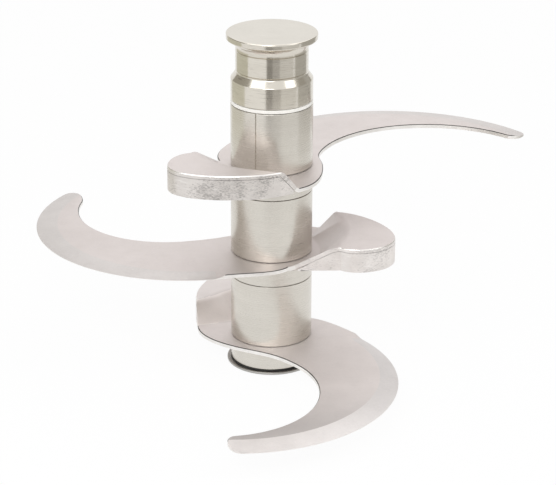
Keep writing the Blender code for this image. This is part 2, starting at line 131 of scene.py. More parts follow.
# lathe lines: rings on every face that was turned round the upright axis, faint on level faces
def makeTurningLines():
    tree, inside, outside = startGroup(
        "turningLines", {"Lines": 3000.0, "Bands": 260.0, "Scratches": 0.1},
        ["Height", "Tone", "Scratch"],
    )
    x, y, z = objectPlace(tree)[1]
    flat = addNode(tree, "CombineXYZ", {0: x, 1: y}).outputs[0]
    radius = addNode(tree, "VectorMath", {0: flat}, operation="LENGTH").outputs["Value"]
    across = calculate(tree, "ADD", z, radius)
    lines = calculate(tree, "MULTIPLY", across, inside.outputs["Lines"])
    fine = addNode(tree, "TexNoise", {
        "W": lines, "Scale": 1.0, "Detail": 3.0, "Roughness": 0.6,
    }, noise_dimensions="1D")
    wide = addNode(tree, "TexNoise", {
        "Vector": stretch(tree, flat, (14.0, 14.0, 0.0)), "Scale": 1.0, "Detail": 2.0,
        "W": calculate(tree, "MULTIPLY", across, inside.outputs["Bands"]), "Roughness": 0.55,
    }, noise_dimensions="4D")
    streak = addNode(tree, "TexNoise", {
        "Vector": stretch(tree, flat, (110.0, 110.0, 0.0)), "W": lines, "Scale": 1.0, "Detail": 1.0,
    }, noise_dimensions="4D")
    over = calculate(tree, "ADD", streak.outputs[0], inside.outputs["Scratches"])
    facing = addNode(tree, "TexCoord").outputs["Normal"]
    level = calculate(tree, "ABSOLUTE", addNode(tree, "SeparateXYZ", {0: facing}).outputs[2], 0.0)
    upright = spread(tree, level, 0.75, 0.95, 1.0, 0.22)
    tone = calculate(tree, "MULTIPLY", calculate(tree, "SUBTRACT", wide.outputs[0], 0.58), upright)
    scratch = calculate(tree, "MULTIPLY", spread(tree, over, 0.78, 0.84, 0.0, 1.0), upright)
    tree.links.new(fine.outputs[0], outside.inputs["Height"])
    tree.links.new(calculate(tree, "ADD", tone, 0.58), outside.inputs["Tone"])
    tree.links.new(scratch, outside.inputs["Scratch"])
    return tree


# abrasive lines: level strokes on upright walls, and a fine even grain on level faces
def makeSandedGrain():
    tree, inside, outside = startGroup(
        "sandedGrain", {"Grain": 900.0, "Stroke Length": 0.05, "Scratches": 0.1},
        ["Height", "Tone", "Scratch", "Speck"],
    )
    place, (x, y, z) = objectPlace(tree)
    share = inside.outputs["Stroke Length"]
    level = addNode(tree, "CombineXYZ", {
        0: calculate(tree, "MULTIPLY", x, share), 1: calculate(tree, "MULTIPLY", y, share), 2: z,
    }).outputs[0]
    strokes = addNode(tree, "TexNoise", {
        "Vector": level, "Scale": inside.outputs["Grain"], "Detail": 3.0, "Roughness": 0.65,
    })
    long = addNode(tree, "TexNoise", {
        "Vector": stretch(tree, level, (0.6, 0.6, 0.8)), "Scale": inside.outputs["Grain"], "Detail": 1.0,
    })
    cloud = addNode(tree, "TexNoise", {"Vector": place, "Scale": 95.0, "Detail": 4.0, "Roughness": 0.6})
    pits = addNode(tree, "TexNoise", {
        "Vector": stretch(tree, place, (0.27, 0.27, 1.0)), "Scale": 2300.0, "Detail": 2.0, "Roughness": 0.7,
    })
    crowd = addNode(tree, "TexNoise", {"Vector": place, "Scale": 60.0, "Detail": 2.0}).outputs[0]
    pitted = calculate(tree, "ADD", pits.outputs[0], spread(tree, crowd, 0.35, 0.65, -0.14, 0.12))
    over = calculate(tree, "ADD", long.outputs[0], inside.outputs["Scratches"])
    tree.links.new(strokes.outputs[0], outside.inputs["Height"])
    tree.links.new(cloud.outputs[0], outside.inputs["Tone"])
    tree.links.new(spread(tree, over, 0.70, 0.78, 0.0, 1.0), outside.inputs["Scratch"])
    tree.links.new(spread(tree, pitted, 0.54, 0.66, 0.0, 1.0), outside.inputs["Speck"])
    return tree


# slow change of shade and gloss that handling and washing leave
def makeHandling():
    tree, inside, outside = startGroup("handling", {"Size": 30.0, "Amount": 0.1}, ["Shade", "Gloss"])
    place = objectPlace(tree)[0]
    patches = addNode(tree, "TexNoise", {
        "Vector": place, "Scale": inside.outputs["Size"], "Detail": 4.0, "Roughness": 0.55,
        "Distortion": 0.4,
    }).outputs[0]
    smears = addNode(tree, "TexNoise", {
        "Vector": stretch(tree, place, (1.0, 1.0, 2.3)), "Scale": inside.outputs["Size"], "Detail": 2.0,
    }).outputs[0]
    amount = inside.outputs["Amount"]
    low = calculate(tree, "SUBTRACT", 1.0, amount)
    tree.links.new(spread(tree, patches, 0.3, 0.7, low, 1.0), outside.inputs["Shade"])
    tree.links.new(spread(tree, smears, 0.35, 0.65, 0.0, amount), outside.inputs["Gloss"])
    return tree


turningLines = makeTurningLines()
sandedGrain = makeSandedGrain()
handling = makeHandling()


# finishes
knobSteelLook = {
    "bright": (0.73, 0.692, 0.620), "dull": (0.68, 0.640, 0.568), "scratch": (0.45, 0.42, 0.38),
    "roughness": 0.12, "lineDepth": 0.007 * mm, "scratches": 0.17, "handled": 0.05,
}
sleeveSteelLook = {
    "bright": (0.700, 0.668, 0.610), "dull": (0.675, 0.643, 0.585), "scratch": (0.76, 0.73, 0.68),
    "roughness": 0.24, "lineDepth": 0.0006 * mm, "scratches": 0.0, "handled": 0.06,
}
flangeSteelLook = {
    "bright": (0.48, 0.468, 0.448), "dull": (0.35, 0.341, 0.326), "scratch": (0.60, 0.58, 0.56),
    "roughness": 0.34, "lineDepth": 0.01 * mm, "scratches": 0.06, "handled": 0.10,
}
bladeSteelLook = {
    "bright": (0.715, 0.664, 0.648), "dull": (0.685, 0.634, 0.616), "scratch": (0.78, 0.74, 0.72),
    "roughness": 0.56, "grainDepth": 0.006 * mm, "grain": 2600.0, "stroke": 1.0, "scratches": 0.0,
    "specks": 0.04, "handled": 0.03,
}
# lower blade's sheet: a lighter copy of the blade steel, as painted light, darkened towards the tip as
# painted shade
litLowSteelLook = {
    **bladeSteelLook, "bright": (0.795, 0.748, 0.732), "dull": (0.765, 0.718, 0.702), "roughness": 0.62,
    "paintedTipLight": 0.75, "tipFrom": -132.0 * mm, "tipTo": -80.0 * mm,
}
# lower blade's ramp: a much lighter copy of the blade steel, painted light where the blades above shade it
paintedLitRampLook = {
    **bladeSteelLook, "bright": (0.960, 0.910, 0.886), "dull": (0.925, 0.874, 0.850), "roughness": 0.62,
}
groundEdgeLook = {
    "bright": (0.680, 0.644, 0.628), "dull": (0.640, 0.606, 0.590), "scratch": (0.76, 0.73, 0.71),
    "roughness": 0.48, "grainDepth": 0.006 * mm, "grain": 2200.0, "stroke": 0.35, "scratches": 0.02,
    "specks": 0.05, "handled": 0.03,
}
# lower blade's ground edge: a lighter copy of the ground edge, painted light, lighter still towards the tip
litLowEdgeLook = {
    **groundEdgeLook, "bright": (0.735, 0.706, 0.696), "dull": (0.697, 0.668, 0.658), "roughness": 0.50,
    "paintedTipLight": 1.18, "tipFrom": -155.0 * mm, "tipTo": -100.0 * mm,
}
# sheared sides of the sheets: their own grain, with the base colour raised near white as a painted highlight
sheetSideHighlightLook = {
    "bright": (0.960, 0.935, 0.905), "dull": (0.850, 0.825, 0.795), "scratch": (0.97, 0.95, 0.92),
    "roughness": 0.36, "grainDepth": 0.015 * mm, "grain": 1500.0, "stroke": 0.15, "scratches": 0.05,
    "specks": 0.15, "handled": 0.05,
}
groundSteelLook = {
    "bright": (0.820, 0.780, 0.748), "dull": (0.700, 0.662, 0.632), "scratch": (0.95, 0.92, 0.89),
    "roughness": 0.34, "grainDepth": 0.035 * mm, "grain": 1500.0, "stroke": 0.16, "scratches": 0.06,
    "specks": 0.72, "handled": 0.08,
}
paleGroundLook = {
    **groundSteelLook, "bright": (0.900, 0.856, 0.826), "dull": (0.780, 0.738, 0.706), "specks": 0.42,
}
# rounded rim of the plate: polished, with the base colour raised near white as a painted highlight
rimHighlightLook = {
    "bright": (0.960, 0.935, 0.905), "dull": (0.900, 0.872, 0.842), "scratch": (0.98, 0.96, 0.94),
    "roughness": 0.26, "grainDepth": 0.008 * mm, "grain": 1500.0, "stroke": 0.15, "scratches": 0.0,
    "specks": 0.12, "handled": 0.04,
}
# dark line on the softened edges of the sheets: painted edge shade, partly a burr
edgeShadeLineLook = {
    "bright": (0.130, 0.124, 0.118), "dull": (0.070, 0.067, 0.064), "scratch": (0.30, 0.29, 0.28),
    "roughness": 0.45, "grainDepth": 0.01 * mm, "grain": 1500.0, "stroke": 1.0, "scratches": 0.0,
    "specks": 0.2, "handled": 0.05,
}
whiteSealLook = {
    "first": (0.93, 0.915, 0.875), "second": (0.88, 0.86, 0.81), "roughness": 0.46, "depth": 0.006 * mm,
}
blackSealLook = {
    "first": (0.022, 0.021, 0.021), "second": (0.060, 0.058, 0.056), "roughness": 0.55, "depth": 0.012 * mm,
}


def startMaterial(name, metallic):
    material = bpy.data.materials.new(name)
    material.use_nodes = True
    shader = material.node_tree.nodes["Principled BSDF"]
    shader.inputs["Metallic"].default_value = metallic
    return material, material.node_tree, shader


def fillShader(tree, shader, color, rough, height, depth):
    bump = addNode(tree, "Bump", {"Height": height, "Distance": depth, "Strength": 1.0})
    for socket, value in (("Base Color", color), ("Roughness", rough), ("Normal", bump.outputs[0])):
        tree.links.new(value, shader.inputs[socket])


def makeTurnedMetal(name, look):
    material, tree, shader = startMaterial(name, 1.0)
    lines = placeGroup(tree, turningLines, Scratches=look["scratches"])
    hands = placeGroup(tree, handling, Size=38.0, Amount=look["handled"])
    tone = spread(tree, lines["Tone"], 0.3, 0.7, 0.0, 1.0)
    color = blendColors(tree, tone, look["dull"], look["bright"])
    color = blendColors(tree, calculate(tree, "MULTIPLY", lines["Scratch"], 0.6), color, look["scratch"])
    color = blendColors(tree, 1.0, color, hands["Shade"], "MULTIPLY")
    rough = calculate(tree, "ADD", spread(tree, lines["Height"], 0.3, 0.7, -0.03, 0.03), hands["Gloss"])
    rough = calculate(tree, "ADD", rough, look["roughness"])
    fillShader(tree, shader, color, rough, lines["Height"], look["lineDepth"])
    return material


speckShade = 0.45


def makeSandedMetal(name, look):
    material, tree, shader = startMaterial(name, 1.0)
    marks = placeGroup(tree, sandedGrain, **{
        "Grain": look["grain"], "Stroke Length": look["stroke"], "Scratches": look["scratches"],
    })
    hands = placeGroup(tree, handling, Size=24.0, Amount=look["handled"])
    tone = spread(tree, marks["Tone"], 0.3, 0.7, 0.0, 1.0)
    color = blendColors(tree, tone, look["dull"], look["bright"])
    specks = calculate(tree, "MULTIPLY", marks["Speck"], look["specks"])
    color = blendColors(tree, specks, color, [speckShade * part for part in look["dull"]])
    color = blendColors(tree, calculate(tree, "MULTIPLY", marks["Scratch"], 0.5), color, look["scratch"])
    color = blendColors(tree, 1.0, color, hands["Shade"], "MULTIPLY")
    # painted light: the colour is darkened or lightened towards the lower blade's tip, along the object's y
    if "paintedTipLight" in look:
        depth = objectPlace(tree)[1][1]
        shade = spread(tree, depth, look["tipFrom"], look["tipTo"], look["paintedTipLight"], 1.0)
        color = blendColors(tree, 1.0, color, shade, "MULTIPLY")
    rough = calculate(tree, "ADD", spread(tree, marks["Height"], 0.3, 0.7, -0.04, 0.04), hands["Gloss"])
    rough = calculate(tree, "ADD", rough, look["roughness"])
    fillShader(tree, shader, color, rough, marks["Height"], look["grainDepth"])
    return material


def makeSealMaterial(name, look):
    material, tree, shader = startMaterial(name, 0.0)
    hands = placeGroup(tree, handling, Size=120.0, Amount=0.06)
    lines = placeGroup(tree, turningLines, Lines=1800.0, Scratches=0.02)
    tone = spread(tree, lines["Tone"], 0.35, 0.7, 0.0, 1.0)
    color = blendColors(tree, tone, look["first"], look["second"])
    color = blendColors(tree, 1.0, color, hands["Shade"], "MULTIPLY")
    rough = calculate(tree, "ADD", hands["Gloss"], look["roughness"])
    fillShader(tree, shader, color, rough, lines["Height"], look["depth"])
    return material


knobSteel = makeTurnedMetal("knobSteel", knobSteelLook)
sleeveSteel = makeTurnedMetal("sleeveSteel", sleeveSteelLook)
flangeSteel = makeTurnedMetal("flangeSteel", flangeSteelLook)
bladeSteel = makeSandedMetal("bladeSteel", bladeSteelLook)
litLowSteel = makeSandedMetal("litLowSteel", litLowSteelLook)
paintedLitRamp = makeSandedMetal("paintedLitRamp", paintedLitRampLook)
groundEdge = makeSandedMetal("groundEdge", groundEdgeLook)
litLowEdge = makeSandedMetal("litLowEdge", litLowEdgeLook)
sheetSideHighlight = makeSandedMetal("sheetSideHighlight", sheetSideHighlightLook)
groundSteel = makeSandedMetal("groundSteel", groundSteelLook)
paleGround = makeSandedMetal("paleGround", paleGroundLook)
headSteel = {"lower": paleGround, "middle": paleGround, "upper": groundSteel}
rimHighlightSteel = makeSandedMetal("rimHighlightSteel", rimHighlightLook)
edgeShadeLine = makeSandedMetal("edgeShadeLine", edgeShadeLineLook)
whiteSeal = makeSealMaterial("whiteSeal", whiteSealLook)
blackSeal = makeSealMaterial("blackSeal", blackSealLook)
report("finishes made")


# small helpers for pieces
def makeMesh(name, bm):
    mesh = bpy.data.meshes.new(name)
    bm.to_mesh(mesh)
    bm.free()
    return mesh


def addObject(name, data):
    item = bpy.data.objects.new(name, data)
    bpy.context.scene.collection.objects.link(item)
    return item


def addPiece(name, bm, materials, nodes):
    mesh = makeMesh(name, bm)
    piece = addObject(name, mesh)
    for material in materials:
        mesh.materials.append(material)
    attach(piece, "root")
    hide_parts(*nodes)
    return piece


# a working mesh of what an object's modifiers make
def resultOf(item):
    graph = bpy.context.evaluated_depsgraph_get()
    result = bpy.data.meshes.new_from_object(item.evaluated_get(graph))
    bm = bmesh.new()
    bm.from_mesh(result)
    bpy.data.meshes.remove(result)
    return bm


# takes the cutter out of a working mesh and gives back a new working mesh
def carve(bm, cutterMesh):
    holder = makeMesh("carved", bm)
    body = addObject("carved", holder)
    tool = addObject("carver", cutterMesh)
    boolean = body.modifiers.new("carve", "BOOLEAN")
    boolean.operation = "DIFFERENCE"
    boolean.solver = "EXACT"
    boolean.object = tool
    carved = resultOf(body)
    for item in (body, tool):
        bpy.data.objects.remove(item)
    for mesh in (holder, cutterMesh):
        bpy.data.meshes.remove(mesh)
    return carved


def boxMesh(angle, inner, outer, width, bottom, top):
    bm = bmesh.new()
    bmesh.ops.create_cube(bm, size=1.0)
    bmesh.ops.scale(bm, vec=(outer - inner, width, top - bottom), verts=bm.verts)
    bmesh.ops.translate(bm, vec=((inner + outer) / 2, 0.0, (bottom + top) / 2), verts=bm.verts)
    bmesh.ops.rotate(bm, matrix=Matrix.Rotation(angle, 3, "Z"), verts=bm.verts)
    return makeMesh("box", bm)


def shadeSoftly(bm, sharpFrom):
    for face in bm.faces:
        face.smooth = True
    for edge in bm.edges:
        if len(edge.link_faces) == 2:
            edge.smooth = edge.calc_face_angle(0.0) < math.radians(sharpFrom)


def evenShading(piece):
    weighted = piece.modifiers.new("evenShading", "WEIGHTED_NORMAL")
    weighted.keep_sharp = True
    weighted.weight = 80


# a turned profile is a list of corners: radius, height and how far the corner is rounded back
def roundProfile(corners, closed):
    points = []
    for i, (radius, height, rounding) in enumerate(corners):
        here = Vector((radius, height))
        if not rounding or (not closed and i in (0, len(corners) - 1)):
            points.append(here)
            continue
        before = Vector(corners[i - 1][:2])
        after = Vector(corners[(i + 1) % len(corners)][:2])
        start = here + (before - here).normalized() * rounding
        end = here + (after - here).normalized() * rounding
        for step in range(turning["roundSteps"] + 1):
            share = step / turning["roundSteps"]
            points.append(start.lerp(here, share).lerp(here.lerp(end, share), share))
    return points


def turn(points, closed, mark=None):
    count = turning["steps"]
    angles = [2 * math.pi * i / count for i in range(count)]
    if mark:
        half = mark["width"] / 2 / mark["reach"]
        floor = mark["reach"] - mark["depth"]
        center = mark["angle"] % (2 * math.pi)
        angles = [angle for angle in angles if abs(angle - center) > half * mark["clearance"]]
        angles += [center + half * side * share for side in (-1, 1) for share in mark["shares"]]
        angles.sort()
    bm = bmesh.new()
    rings = []
    for radius, height in points:
        if radius < 0.001 * mm:
            rings.append([bm.verts.new((0.0, 0.0, height))])
            continue
        ring = []
        for angle in angles:
            reach = radius
            if mark and radius > floor and abs(angle - center) < half * mark["wall"]:
                reach = floor
            ring.append(bm.verts.new((*polar(reach, angle), height)))
        rings.append(ring)
    pairs = list(zip(rings, rings[1:]))
    if closed:
        pairs.append((rings[-1], rings[0]))
    for near, far in pairs:
        for i in range(len(angles)):
            after = (i + 1) % len(angles)
            corners = (
                near[i % len(near)], near[after % len(near)],
                far[after % len(far)], far[i % len(far)],
            )
            corners = list(dict.fromkeys(corners))
            if len(corners) > 2:
                bm.faces.new(corners)
    bmesh.ops.recalc_face_normals(bm, faces=bm.faces)
    return bm


turning = {"steps": 160, "roundSteps": 4, "edgeRound": 0.35 * mm, "sharpFrom": 32.0}
column = {"radius": 25.0 * mm, "bore": 17.3 * mm, "tube": 17.0 * mm, "keyAngle": math.radians(-20.0)}
keySeat = {
    "width": 6.6 * mm, "floor": 13.7 * mm, "hubReach": 20.3 * mm, "pastTube": 6.0 * mm,
    "aboveCollar": 2.8 * mm,
}
turns = {"lower": math.radians(0.0), "middle": math.radians(243.0), "upper": math.radians(117.5)}


def ringCorners(inner, outer, bottom, top, rounding):
    return [
        (inner, top, 0.0), (outer, top, rounding), (outer, bottom, rounding), (inner, bottom, 0.0),
    ]


def finishTurned(name, bm, material, node):
    shadeSoftly(bm, turning["sharpFrom"])
    piece = addPiece(name, bm, [material], [node])
    evenShading(piece)
    return piece


# drive tube: flange, stud, blind bore with its slot, and a pocket beside each key
tubeShape = {
    "flangeRadius": 27.5 * mm, "flangeThickness": 1.4 * mm, "flangeRound": 0.4 * mm,
    "boreRadius": 11.0 * mm, "boreRound": 1.0 * mm, "boreTop": 163.9 * mm,
    "slotWidth": 5.0 * mm, "slotReach": 13.5 * mm, "slotTop": 158.9 * mm,
    "shoulderTop": 170.9 * mm, "studRadius": 12.0 * mm, "studRound": 1.5 * mm,
}


def buildDriveTube():
    shape = tubeShape
    corners = [
        (0.0, topOf("drive_tube"), 0.0),
        (shape["studRadius"], topOf("drive_tube"), shape["studRound"]),
        (shape["studRadius"], shape["shoulderTop"], 0.0),
        (column["tube"], shape["shoulderTop"], 0.0),
        (column["tube"], shape["flangeThickness"], 0.0),
        (shape["flangeRadius"], shape["flangeThickness"], shape["flangeRound"]),
        (shape["flangeRadius"], 0.0, shape["flangeRound"]),
        (shape["boreRadius"], 0.0, shape["boreRound"]),
        (shape["boreRadius"], shape["boreTop"], 0.0),
        (0.0, shape["boreTop"], 0.0),
    ]
    bm = turn(roundProfile(corners, False), False)
    bm = carve(bm, boxMesh(
        column["keyAngle"] + math.pi, 0.0, shape["slotReach"], shape["slotWidth"], -1.0 * mm,
        shape["slotTop"],
    ))
    for level in levels:
        bm = carve(bm, boxMesh(
            column["keyAngle"] + turns[level], keySeat["floor"], column["tube"] + keySeat["pastTube"],
            keySeat["width"], bottomOf("collar_" + level),
            topOf("collar_" + level) + keySeat["aboveCollar"],
        ))
    finishTurned("driveTube", bm, flangeSteel, "drive_tube")


# black ring over the flange and pale ring under the knob
sealShapes = {
    "foot": {"radius": 25.25 * mm, "round": 0.15 * mm, "material": blackSeal, "slot": "black_seal"},
    "cap": {"radius": 24.95 * mm, "round": 0.5 * mm, "material": whiteSeal, "slot": "white_seal"},
}


def buildSeals():
    for kind, shape in sealShapes.items():
        node = kind + "_seal"
        corners = ringCorners(
            column["bore"], shape["radius"], bottomOf(node), topOf(node), shape["round"],
        )
        bm = turn(roundProfile(corners, True), True)
        finishTurned(kind + "Seal", bm, shape["material"], node)


# spacer sleeves, each recessed at its foot for a seal, the upper one with a scribed mark
sleeveShape = {
    "recessRadius": 20.3 * mm, "recessDepth": 2.7 * mm,
    "mark": {
        "angle": math.radians(-112.2), "width": 1.0 * mm, "depth": 0.8 * mm, "reach": 25.0 * mm,
        "clearance": 1.4, "wall": 0.98, "shares": (1.0, 0.96, 0.4),
    },
}


def buildSleeves():
    shape = sleeveShape
    for level in levels:
        node = "sleeve_" + level
        bottom, top = bottomOf(node), topOf(node)
        roof = bottom + shape["recessDepth"]
        corners = [
            (column["bore"], top, 0.0),
            (column["radius"], top, turning["edgeRound"]),
            (column["radius"], bottom, turning["edgeRound"]),
            (shape["recessRadius"], bottom, 0.0),
            (shape["recessRadius"], roof, 0.0),
            (column["bore"], roof, 0.0),
        ]
        mark = shape["mark"] if level == "upper" else None
        bm = turn(roundProfile(corners, True), True, mark)
        finishTurned(level + "Sleeve", bm, sleeveSteel, node)


def buildCollars():
    for level in levels:
        node = "collar_" + level
        bottom, top = bottomOf(node), topOf(node)
        corners = ringCorners(column["bore"], column["radius"], bottom, top, turning["edgeRound"])
        bm = carve(turn(roundProfile(corners, True), True), boxMesh(
            column["keyAngle"] + turns[level], 0.0, keySeat["hubReach"], keySeat["width"],
            bottom - 1.0 * mm, top + 1.0 * mm,
        ))
        finishTurned(level + "Collar", bm, sleeveSteel, node)


# top knob: disc, cove, grip neck, chamfer and shoulder, bored for the stud
knobShape = {
    "discRadius": 27.6 * mm, "rimHeight": 3.8 * mm, "discRound": 0.9 * mm, "coveHeight": 5.8 * mm,
    "neckRadius": 22.0 * mm, "neckHeight": 14.4 * mm, "chamferHeight": 4.0 * mm,
    "shoulderRadius": 24.9 * mm, "chamferRound": 0.25 * mm, "studBore": 12.3 * mm,
    "studBoreTop": 188.8 * mm, "coveSteps": 12, "grooveWidth": 0.7 * mm, "grooveDepth": 0.5 * mm,
    "grooveDrop": 0.7 * mm, "grooveRise": 1.05 * mm,
}


def buildKnob():
    shape = knobShape
    bottom, top = bottomOf("top_knob"), topOf("top_knob")
    discBottom = top - shape["rimHeight"]
    neckTop = discBottom - shape["coveHeight"]
    neckBottom = neckTop - shape["neckHeight"]
    corners = [
        (0.0, top, 0.0),
        (shape["discRadius"], top, shape["discRound"]),
        (shape["discRadius"], discBottom, shape["discRound"]),
    ]
    coveWidth = shape["discRadius"] - shape["discRound"] - shape["neckRadius"]
    for i in range(shape["coveSteps"] + 1):
        angle = math.radians(90.0 + 90.0 * i / shape["coveSteps"])
        reach = shape["neckRadius"] + coveWidth * (1.0 + math.cos(angle))
        corners.append((reach, neckTop + shape["coveHeight"] * math.sin(angle), 0.0))
    for height in (neckTop - shape["grooveDrop"], neckBottom + shape["grooveRise"]):
        corners += [
            (shape["neckRadius"], height + shape["grooveWidth"] / 2, 0.0),
            (shape["neckRadius"] - shape["grooveDepth"], height, 0.0),
            (shape["neckRadius"], height - shape["grooveWidth"] / 2, 0.0),
        ]
    corners += [
        (shape["neckRadius"], neckBottom, shape["chamferRound"]),
        (shape["shoulderRadius"], neckBottom - shape["chamferHeight"], shape["chamferRound"]),
        (shape["shoulderRadius"], bottom, turning["edgeRound"]),
        (shape["studBore"], bottom, 0.0),
        (shape["studBore"], shape["studBoreTop"], 0.0),
        (0.0, shape["studBoreTop"], 0.0),
    ]
    bm = turn(roundProfile(corners, False), False)
    finishTurned("topKnob", bm, knobSteel, "top_knob")


buildDriveTube()
buildSeals()
buildSleeves()
buildCollars()
buildKnob()
for level in levels:
    for kind, finish in (("hub_key_", flangeSteel), ("joint_seal_", blackSeal)):
        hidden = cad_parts[kind + level].data.materials
        hidden.clear()
        hidden.append(finish)
report("column built")


# folded blade sheets: hub and arm in one level, then a ramp up to a plate over the block
hubReach = 47.5 * mm
headReach = 74.0 * mm
bladeShape = {
    "thickness": 2.5 * mm, "edgeLand": 0.3 * mm, "plateRise": 12.5 * mm, "plateRound": 2.1 * mm,
    "hubFlatLeft": 3.0 * mm, "hubFlatRight": 7.0 * mm, "footBend": 0.12, "topBend": 0.28,
    "grindWidth": 8.4 * mm, "grindShift": Vector((-0.286, 0.5)) * 8.4 * mm, "grindRunIn": 3,
    "grindPastTip": math.radians(25.0), "cornerFrom": 60.0, "sharpFrom": 24.0, "boreSteps": 72,
    "edgeSoftening": 0.42 * mm, "backEnd": math.radians(40.0), "rootReach": 12.0 * mm,
    "backReach": 20.0 * mm, "arcStep": math.radians(1.6), "curvePoints": 22, "foldColumns": 42,
    "plateSegments": 7, "footSteps": 5, "topSteps": 9, "rampSteps": 3, "leastStep": 0.01,
    "turnInShare": 0.3, "grindStart": 0.1, "grindAbove": 2.5 * mm, "topWithin": 0.03 * mm,
    "levelWithin": 0.01 * mm, "headAbove": 0.1 * mm, "groundBelow": -0.02 * mm,
}
sheetSlots = ("sheet", "edge", "head", "side", "line", "rim", "ramp")
# the upward part of a face's direction, lowest and highest, for the finishes of a sheet
facing = {
    "line": (0.2, 0.93), "rim": (0.1, 0.9), "head": (-0.55, 0.55), "edge": (0.94, 0.996),
    "side": (-0.3, 0.3), "ramp": (0.55, 0.93),
}
hubPlan = {
    "foldLeft": Vector((-0.975, 0.143)) * hubReach, "footArcStart": math.radians(152.0),
    "front": Vector((-0.4, -0.531)) * hubReach, "frontAngle": math.radians(-27.5),
    "frontReachLeft": 20.0 * mm, "frontReachRight": 15.0 * mm, "foldLeftReach": 12.0 * mm,
}
platePlan = {
    "left": Vector((-1.0, 0.421)) * hubReach, "leftHandle": Vector((-1.021, 0.842)) * hubReach,
    "apex": Vector((-0.162, 1.0)) * headReach, "apexBefore": Vector((-0.405, 1.0)) * headReach,
    "apexAfter": Vector((-0.027, 1.0)) * headReach, "corner": Vector((0.101, 0.689)) * headReach,
    "cornerHandle": Vector((0.142, 0.838)) * headReach,
    "creaseLeft": Vector((-0.486, 0.486)) * headReach, "creaseRight": Vector((-0.351, 0.635)) * headReach,
    "swellAngle": math.radians(130.0), "apexSwell": 0.3,
}
bladePlans = {
    "lower": {
        "root": Vector((1.104, -0.057)) * hubReach, "rootHandle": Vector((0.716, 0.379)) * hubReach,
        "cutRadius": 96.4 * mm, "cutStart": math.radians(41.2), "cutEnd": math.radians(-87.6),
        "backOffset": Vector((-0.1068, -0.2116)), "backRatio": 0.6131,
        "backStart": math.radians(-80.3), "tipReach": 8.0 * mm, "foldEnd": math.radians(40.0),
        "headShift": Vector((0.0, 0.0)) * hubReach, "headSwell": 4.5 * mm,
    },
    "middle": {
        "root": Vector((1.066, -0.101)) * hubReach, "rootHandle": Vector((0.716, 0.453)) * hubReach,
        "cutRadius": 95.9 * mm, "cutStart": math.radians(43.0), "cutEnd": math.radians(-93.0),
        "backOffset": Vector((-0.1074, -0.2054)), "backRatio": 0.6027,
        "backStart": math.radians(-74.0), "tipReach": 11.0 * mm, "foldEnd": math.radians(45.0),
        "headShift": Vector((0.034, 0.076)) * hubReach, "headSwell": 4.5 * mm,
    },
    "upper": {
        "root": Vector((1.079, -0.074)) * hubReach, "rootHandle": Vector((0.737, 0.505)) * hubReach,
        "cutRadius": 106.1 * mm, "cutStart": math.radians(35.8), "cutEnd": math.radians(-79.8),
        "backOffset": Vector((-0.0933, -0.2130)), "backRatio": 0.6729,
        "backStart": math.radians(-70.7), "tipReach": 8.5 * mm, "foldEnd": math.radians(56.0),
        "headShift": Vector((-0.011, -0.021)) * hubReach, "headSwell": 0.0 * mm,
    },
}
for plan in bladePlans.values():
    plan["cutCenter"] = plan["root"] - polar(plan["cutRadius"], plan["cutStart"])
    plan["backCenter"] = plan["cutCenter"] + plan["backOffset"] * plan["cutRadius"]
    plan["backRadius"] = plan["backRatio"] * plan["cutRadius"]


def curve(start, startHandle, endHandle, end, count):
    return [Vector(point[:2]) for point in interpolate_bezier(start, startHandle, endHandle, end, count + 1)]


def arc(center, radius, start, end):
    count = max(2, round(abs(end - start) / bladeShape["arcStep"]))
    return [center + polar(radius, start + (end - start) * i / count) for i in range(count + 1)]


# height of the ramp between hub and plate, as a share of the rise
def rampShare(step):
    foot, top = bladeShape["footBend"], bladeShape["topBend"]
    slope = 1.0 / (1.0 - foot / 2 - top / 2)
    if step < foot:
        return slope * step * step / (2 * foot)
    if step > 1.0 - top:
        return 1.0 - slope * (1.0 - step) ** 2 / (2 * top)
    return slope * (step - foot / 2)


def rampSteps(start):
    shape = bladeShape
    foot, top = shape["footBend"], shape["topBend"]
    steps = [foot * i / shape["footSteps"] for i in range(shape["footSteps"])]
    steps += [foot + (1.0 - foot - top) * i / shape["rampSteps"] for i in range(shape["rampSteps"])]
    steps += [1.0 - top * (1.0 - i / shape["topSteps"]) for i in range(shape["topSteps"] + 1)]
    return [start] + [step for step in steps if step > start + shape["leastStep"]]


def footCrease(plan):
    columns = bladeShape["foldColumns"]
    turnIn = round(columns * bladeShape["turnInShare"])
    arcCount = columns - turnIn
    low, high = column["radius"] + bladeShape["hubFlatLeft"], column["radius"] + bladeShape["hubFlatRight"]
    start = hubPlan["footArcStart"]
    bend = []
    for i in range(arcCount + 1):
        share = i / arcCount
        bend.append(polar(low + (high - low) * share, start + (plan["foldEnd"] - start) * share))
    left = hubPlan["foldLeft"] + plan["headShift"]
    return [left.lerp(bend[0], i / turnIn) for i in range(turnIn)] + bend


def topCrease(plan):
    return curve(
        platePlan["left"] + plan["headShift"], platePlan["creaseLeft"], platePlan["creaseRight"],
        platePlan["corner"], bladeShape["foldColumns"],
    )


def plateRim(plan):
    swell = polar(plan["headSwell"], platePlan["swellAngle"])
    left = platePlan["left"] + plan["headShift"]
    apex = platePlan["apex"] + swell * platePlan["apexSwell"]
    outer = curve(
        left, platePlan["leftHandle"] + swell, platePlan["apexBefore"] + swell, apex,
        bladeShape["curvePoints"],
    )
    end = curve(
        apex, platePlan["apexAfter"] + swell * platePlan["apexSwell"], platePlan["cornerHandle"],
        platePlan["corner"], bladeShape["curvePoints"],
    )
    return outer[1:] + end[1:-1]


